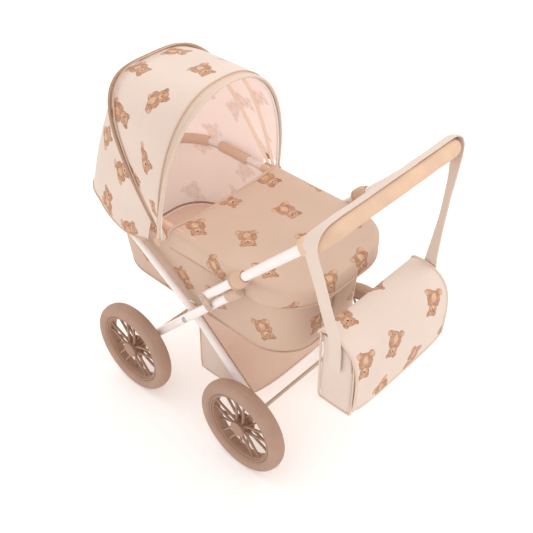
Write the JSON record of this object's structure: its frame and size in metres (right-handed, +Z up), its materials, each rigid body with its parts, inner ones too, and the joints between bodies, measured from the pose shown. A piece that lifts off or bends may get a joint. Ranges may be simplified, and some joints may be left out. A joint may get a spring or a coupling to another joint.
{
  "type": "doll pram",
  "caption": "Folding doll pram with a fabric cot, apron and hood, spoked wheels, push handle with a hung bag, and a basket below.",
  "frame": {"origin": "on the floor, at the middle of the bounding box in plan", "axes": "+Z up; the pram travels towards -Y, with the hood at -Y and the push handle at +Y; +X is the left side of someone who rides facing the handle; symmetric about X = 0"},
  "size_m": [0.325, 0.5682, 0.5418],
  "materials": {
    "tube_paint": "semi-gloss pinkish white powder coat on steel tube",
    "axle_paint": "satin beige-brown painted steel rod",
    "tan_plastic": "satin tan moulded plastic",
    "white_plastic": "satin off-white plastic",
    "wheel_plastic": "satin beige-brown moulded plastic",
    "tyre_foam": "matt beige-brown foam tyre with a fine skin",
    "grip_foam": "matt tan foam sleeve",
    "rivet_steel": "brushed steel rivet",
    "print_fabric": "cream woven fabric with scattered brown line drawings of sitting toy bears",
    "hood_steel": "off-white coated spring hoop",
    "strap_webbing": "cream cotton strap",
    "mattress_fabric": "soft padded fabric, light brown",
    "base_card": "fibre board"
  },
  "bodies": {
    "cot": {"rim_tube": "tube_paint", "cot_tub": "print_fabric", "rim_bracket_left": "rivet_steel", "rim_bracket_right": "rivet_steel", "leg_top_rivet_left": "rivet_steel", "leg_top_rivet_right": "rivet_steel", "hood_bracket_left": "tan_plastic", "hood_bracket_right": "tan_plastic", "hood_pin_left": "rivet_steel", "hood_pin_right": "rivet_steel", "hood_curtain": "print_fabric"},
    "rear_legs": {"rear_leg_left": "tube_paint", "rear_leg_right": "tube_paint", "axle_rear": "axle_paint", "axle_spacer_rear_left": "tan_plastic", "axle_spacer_rear_right": "tan_plastic", "pivot_rivet_left": "rivet_steel", "pivot_rivet_right": "rivet_steel", "pivot_spacer_left": "white_plastic", "pivot_spacer_right": "white_plastic"},
    "front_legs": {"front_leg_left": "tube_paint", "front_leg_right": "tube_paint", "axle_front": "axle_paint", "axle_spacer_front_left": "tan_plastic", "axle_spacer_front_right": "tan_plastic", "link_rivet_lower_left": "rivet_steel", "link_rivet_lower_right": "rivet_steel"},
    "handle_links": {"link_plate_left": "tan_plastic", "link_plate_right": "tan_plastic", "link_rivet_upper_left": "rivet_steel", "link_rivet_upper_right": "rivet_steel"},
    "handle": {"handle_frame": "tube_paint", "foam_grip": "grip_foam"},
    "lock_left": {"handle_lock_left": "tan_plastic"},
    "lock_right": {"handle_lock_right": "tan_plastic"},
    "cot_floor": {"base_board": "base_card", "mattress": "mattress_fabric", "basket": "print_fabric"},
    "apron": {"apron": "print_fabric"},
    "hood_rear": {"hood_bow_rear": "hood_steel"},
    "hood_mid": {"hood_bow_mid": "hood_steel", "hood_panel_rear": "print_fabric"},
    "hood_front": {"hood_bow_front": "hood_steel", "hood_panel_front": "print_fabric"},
    "bag": {"bag_body": "print_fabric", "bag_strap": "strap_webbing"},
    "bag_flap": {"bag_flap": "print_fabric"},
    "wheel_front_left": {"tyre_front_left": "tyre_foam", "rim_front_left": "wheel_plastic", "hub_cap_front_left": "tan_plastic"},
    "wheel_front_right": {"tyre_front_right": "tyre_foam", "rim_front_right": "wheel_plastic", "hub_cap_front_right": "tan_plastic"},
    "wheel_rear_left": {"tyre_rear_left": "tyre_foam", "rim_rear_left": "wheel_plastic", "hub_cap_rear_left": "tan_plastic"},
    "wheel_rear_right": {"tyre_rear_right": "tyre_foam", "rim_rear_right": "wheel_plastic", "hub_cap_rear_right": "tan_plastic"}
  },
  "joints": [
    {"name": "frame_fold", "type": "hinge", "parent": "cot", "child": "rear_legs", "pos_m": [0, -0.18146, 0.3143], "axis": [1, 0, 0], "range_deg": [0, 29], "deforming": ["cot_tub", "basket"]},
    {"name": "front_leg_fold", "type": "hinge", "parent": "rear_legs", "child": "front_legs", "pos_m": [0, -0.01946, 0.198], "axis": [1, 0, 0], "range_deg": [-57, 0]},
    {"name": "floor_lift", "type": "slide", "parent": "cot", "child": "cot_floor", "axis": [0, 0, 1], "range_m": [0, 0.081], "deforming": ["cot_tub", "basket"]},
    {"name": "link_rock", "type": "hinge", "parent": "front_legs", "child": "handle_links", "pos_m": [0, 0.04104, 0.26328], "axis": [1, 0, 0], "range_deg": [0, 9]},
    {"name": "handle_fold", "type": "hinge", "parent": "handle_links", "child": "handle", "pos_m": [0, 0.02879, 0.27463], "axis": [1, 0, 0], "range_deg": [0, 58]},
    {"name": "lock_left_slide", "type": "slide", "parent": "handle", "child": "lock_left", "axis": [0.0381, 0.6907, 0.7222], "range_m": [0, 0.015]},
    {"name": "lock_right_slide", "type": "slide", "parent": "handle", "child": "lock_right", "axis": [-0.0381, 0.6907, 0.7222], "range_m": [0, 0.015]},
    {"name": "apron_open", "type": "hinge", "parent": "cot", "child": "apron", "pos_m": [0, 0.14354, 0.34], "axis": [1, 0, 0], "range_deg": [-85, 0], "deforming": ["apron"]},
    {"name": "hood_fold", "type": "hinge", "parent": "cot", "child": "hood_rear", "pos_m": [0, -0.06646, 0.322], "axis": [1, 0, 0], "range_deg": [0, 27], "deforming": ["hood_curtain", "hood_panel_rear", "hood_panel_front"]},
    {"name": "hood_mid_fold", "type": "hinge", "parent": "hood_rear", "child": "hood_mid", "pos_m": [0, -0.06646, 0.322], "axis": [1, 0, 0], "range_deg": [0, 14], "deforming": ["hood_panel_rear", "hood_panel_front"]},
    {"name": "hood_front_fold", "type": "hinge", "parent": "hood_mid", "child": "hood_front", "pos_m": [0, -0.06646, 0.322], "axis": [1, 0, 0], "range_deg": [0, 15.5], "deforming": ["hood_panel_front"]},
    {"name": "bag_swing", "type": "hinge", "parent": "handle", "child": "bag", "pos_m": [0, 0.24254, 0.498], "axis": [1, 0, 0], "range_deg": [-6, 60], "deforming": ["bag_strap"]},
    {"name": "bag_flap_lift", "type": "hinge", "parent": "bag", "child": "bag_flap", "pos_m": [0, 0.21754, 0.315], "axis": [1, 0, 0], "range_deg": [0, 105]},
    {"name": "wheel_front_left_spin", "type": "hinge", "parent": "front_legs", "child": "wheel_front_left", "pos_m": [0, -0.12946, 0.07932], "axis": [1, 0, 0], "continuous": true},
    {"name": "wheel_front_right_spin", "type": "hinge", "parent": "front_legs", "child": "wheel_front_right", "pos_m": [0, -0.12946, 0.07932], "axis": [1, 0, 0], "continuous": true},
    {"name": "wheel_rear_left_spin", "type": "hinge", "parent": "rear_legs", "child": "wheel_rear_left", "pos_m": [0, 0.11654, 0.07932], "axis": [1, 0, 0], "continuous": true},
    {"name": "wheel_rear_right_spin", "type": "hinge", "parent": "rear_legs", "child": "wheel_rear_right", "pos_m": [0, 0.11654, 0.07932], "axis": [1, 0, 0], "continuous": true}
  ],
  "couplings": [
    {"joint": "front_leg_fold", "follows": "frame_fold", "ratio": -1.9586},
    {"joint": "floor_lift", "follows": "frame_fold", "m_per_rad": 0.15806},
    {"joint": "link_rock", "follows": "handle_fold", "ratio": 0.15},
    {"joint": "hood_mid_fold", "follows": "hood_fold", "ratio": 0.51832},
    {"joint": "hood_front_fold", "follows": "hood_fold", "ratio": 0.57387}
  ]
}
